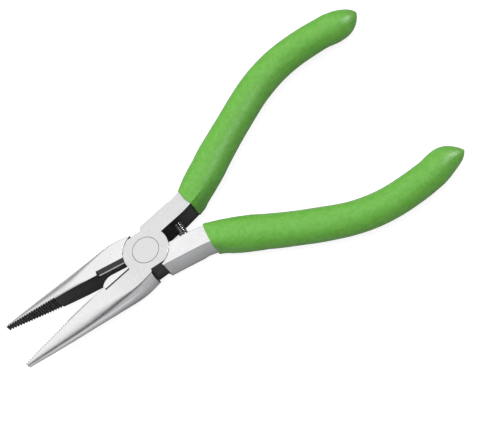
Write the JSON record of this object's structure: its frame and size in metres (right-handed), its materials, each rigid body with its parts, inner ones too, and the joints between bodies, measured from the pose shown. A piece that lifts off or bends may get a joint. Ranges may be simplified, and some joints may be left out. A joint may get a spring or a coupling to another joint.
{
  "type": "needle nose pliers",
  "caption": "Spring-loaded needle nose pliers with toothed tapering jaws, side cutters, a flush pivot rivet and dipped green grips.",
  "frame": {"origin": "on the pivot axis, in the plane of the joint's back face", "axes": "+X from the pivot towards the handles, midway between them; +Y towards the front half's handle; +Z out of the joint's front face"},
  "size_m": [0.1216, 0.0624, 0.0088],
  "materials": {
    "ground_steel": "ground, with black oxide left on the inner faces",
    "rivet_steel": "ground flush, satin",
    "spring_steel": "black oxide, slightly oiled",
    "grip_vinyl": "dipped vinyl, semi-matte, fine orange peel"
  },
  "bodies": {
    "front_body": {"front_half": "ground_steel", "pivot_rivet": "rivet_steel", "front_grip": "grip_vinyl", "return_spring": "spring_steel"},
    "rear_body": {"rear_half": "ground_steel", "rear_grip": "grip_vinyl"}
  },
  "joints": [
    {"name": "pivot", "type": "hinge", "parent": "front_body", "child": "rear_body", "pos_m": [0, 0, 0], "axis": [0, 0, 1], "range_deg": [-25, 16.5], "stiffness_Nm_per_rad": 0.2, "deforming": ["return_spring"]}
  ]
}
